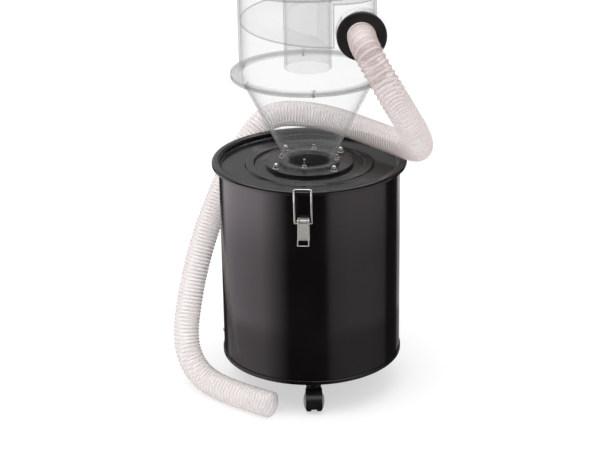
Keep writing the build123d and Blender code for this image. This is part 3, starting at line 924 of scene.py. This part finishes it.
def wheel_finish(number, azimuth):
    """A black tread, and the grey disc over it with its ring, turned as the caster is."""
    made, tree, shader = coated(
        f"wheel_{number}", 0.0, Colour=(0.008, 0.008, 0.008, 1), Worn=(0.02, 0.019, 0.018, 1),
        Scale=90.0, Smooth=0.34, Dull=0.5, Scuffs=0.05, Peel_Scale=1400.0, Peel=0.2,
    )
    side = place_effect(tree, disc, shader, [], Turn=(0, 0, -radians(azimuth)))
    tread = shader.inputs["Base Color"].links[0].from_socket
    both = blend(tree, side.outputs["Disc"], tread, side.outputs["Colour"])
    tree.links.new(both, shader.inputs["Base Color"])
    groove = node(tree, "ShaderNodeBump", Strength=0.8, Distance=0.0006)
    tree.links.new(side.outputs["Ring"], groove.inputs["Height"])
    tree.links.new(shader.inputs["Normal"].links[0].from_socket, groove.inputs["Normal"])
    tree.links.new(groove.outputs["Normal"], shader.inputs["Normal"])
    return made


for number, azimuth in caster_azimuths.items():
    dress([f"caster_{number}_plate"], zinc)
    dress([f"caster_{number}_hood"], hood_black)
    dress([f"caster_{number}_wheels"], wheel_finish(number, azimuth))

# The floor and the light
# A plain pale floor that glows faintly, a white sky and a soft lamp above. The drum's sides mirror
# a floor that is dark but for four bright cards, which lie there for its reflections alone.
floor_size = 14.0
floor_glow = 0.52
dark_floor = 0.025
card_lift = 0.001
card_reach = 2.2
card_rows = 44
card_columns = 24
# Where each card is mirrored on the drum, degrees round from the front, with its brightness there.
cards = {
    "left_card": [(-72, 0.45), (-68, 0.85), (-60, 1.05), (-45, 1.55), (-33, 1.70), (-25, 1.0), (-15, 0.08)],
    "right_card": [(10, 0.12), (13, 0.55), (25, 0.66), (40, 0.55), (53, 0.30), (56, 0.18)],
    "rear_left_card": [(-90, 0.55), (-84, 0.55)],
    "rear_right_card": [(74, 0.45), (90, 0.55)],
}
# How the brightness changes with the way from the drum: dim close by, then a thin bright line.
card_steps = [
    (0.0, 0.60), (0.37, 0.62), (0.385, 1.12), (0.40, 1.12), (0.42, 0.98), (0.80, 1.0), (1.12, 1.8),
    (2.2, 1.8),
]
card_colour = (1.0, 0.90, 0.95, 1)

bm = bmesh.new()
bmesh.ops.create_grid(bm, x_segments=1, y_segments=1, size=floor_size / 2)
floor = link("floor", bm)
pale, tree, shader = new_finish(
    "pale_floor", Base_Color=(0.5, 0.5, 0.5, 1), Roughness=0.9, Specular_IOR_Level=0.0,
    Emission_Color=(1, 1, 1, 1), Emission_Strength=floor_glow,
)


def mirrored(tree):
    """The light path, and one for a ray that comes off a gloss and not through clear plastic."""
    path = node(tree, "ShaderNodeLightPath")
    straight = node(tree, "ShaderNodeMath", operation="SUBTRACT", use_clamp=True)
    tree.links.new(path.outputs["Is Glossy Ray"], straight.inputs[0])
    tree.links.new(path.outputs["Is Transmission Ray"], straight.inputs[1])
    return path, straight.outputs[0]


_, seen_in_gloss = mirrored(tree)
dark = node(tree, "ShaderNodeEmission", Color=card_colour, Strength=dark_floor)
mix = node(tree, "ShaderNodeMixShader")
tree.links.new(seen_in_gloss, mix.inputs["Fac"])
tree.links.new(shader.outputs["BSDF"], mix.inputs[1])
tree.links.new(dark.outputs["Emission"], mix.inputs[2])
tree.links.new(mix.outputs["Shader"], tree.nodes["Material Output"].inputs["Surface"])
floor.data.materials.append(pale)

card_glow = bpy.data.materials.new("card_glow")
card_glow.use_nodes = True
tree = card_glow.node_tree
glow = node(tree, "ShaderNodeEmission", Color=card_colour)
glow_level = node(tree, "ShaderNodeAttribute", attribute_name="glow")
tree.links.new(glow_level.outputs["Fac"], glow.inputs["Strength"])
tree.links.new(glow.outputs["Emission"], tree.nodes["Material Output"].inputs["Surface"])
reaches, shares_out = zip(*card_steps)
for name, stops in cards.items():
    bearings, levels = zip(*stops)
    bm = bmesh.new()
    strength = bm.verts.layers.float.new("glow")
    bmesh.ops.create_grid(bm, x_segments=card_columns, y_segments=card_rows, size=1.0)
    for vertex in bm.verts:
        bearing = bearings[0] + (vertex.co.x + 1) / 2 * (bearings[-1] - bearings[0])
        reach = (vertex.co.y + 1) / 2 * card_reach
        around = radians(bearing)
        start = Vector((sin(around), -cos(around), 0)) * drum_radius
        mirrored_way = Vector((sin(2 * around), -cos(2 * around), 0))
        vertex.co = start + mirrored_way * reach + Vector((0, 0, card_lift))
        vertex[strength] = np.interp(bearing, bearings, levels) * np.interp(reach, reaches, shares_out)
    card = link(name, bm)
    card.data.materials.append(card_glow)
    card.visible_camera = False
    card.visible_diffuse = False
    card.visible_transmission = False
    card.visible_shadow = False

lamp = bpy.data.lights.new("top_softbox", "AREA")
lamp.shape = "RECTANGLE"
lamp.size = 2.6
lamp.size_y = 2.6
lamp.energy = 40.0
top_softbox = bpy.data.objects.new("top_softbox", lamp)
bpy.context.scene.collection.objects.link(top_softbox)
top_softbox.location = (-0.5, -0.7, 2.8)
lit_point = Vector((0, 0, 0.4))
lamp_way = lit_point - top_softbox.location
top_softbox.rotation_euler = lamp_way.to_track_quat("-Z", "Y").to_euler()
top_softbox.visible_camera = False
top_softbox.visible_glossy = False

# Eyes and clear plastic see a white room. Gloss sees it bright behind the object, more so on the
# left, and dark on the side that the camera stands on.
sky_light = 0.97
world = bpy.data.worlds.new("studio")
world.use_nodes = True
bpy.context.scene.world = world
tree = world.node_tree
parts = node(tree, "ShaderNodeSeparateXYZ")
tree.links.new(node(tree, "ShaderNodeTexCoord").outputs["Generated"], parts.inputs["Vector"])
behind = spread(tree, parts.outputs["Y"], 0.0, 1.0, from_low=0.0, from_high=0.45)
side_level = spread(tree, parts.outputs["X"], 0.72, 0.10, from_low=-0.22, from_high=0.22)
overhead = spread(tree, parts.outputs["Z"], 0.01, 2.4, from_low=0.50, from_high=0.85)
back_level = node(tree, "ShaderNodeMath", operation="MULTIPLY")
tree.links.new(behind, back_level.inputs[0])
tree.links.new(side_level, back_level.inputs[1])
gloss_level = larger(tree, back_level.outputs[0], overhead)
path, seen_in_gloss = mirrored(tree)
plain_level = spread(tree, path.outputs["Is Diffuse Ray"], 1.0, sky_light, from_low=0.0, from_high=1.0)
level = node(tree, "ShaderNodeMix", data_type="FLOAT")
tree.links.new(seen_in_gloss, level.inputs[0])
tree.links.new(plain_level, level.inputs[2])
tree.links.new(gloss_level, level.inputs[3])
tree.links.new(level.outputs[0], tree.nodes["Background"].inputs["Strength"])
tree.nodes["Background"].inputs["Color"].default_value = (1, 1, 1, 1)
bpy.context.scene.view_settings.view_transform = "Standard"

# Light has to get through every wall of the cyclone and the hose.
wall_count = 28
for limit in ("max_bounces", "transmission_bounces", "transparent_max_bounces"):
    setattr(bpy.context.scene.cycles, limit, wall_count)
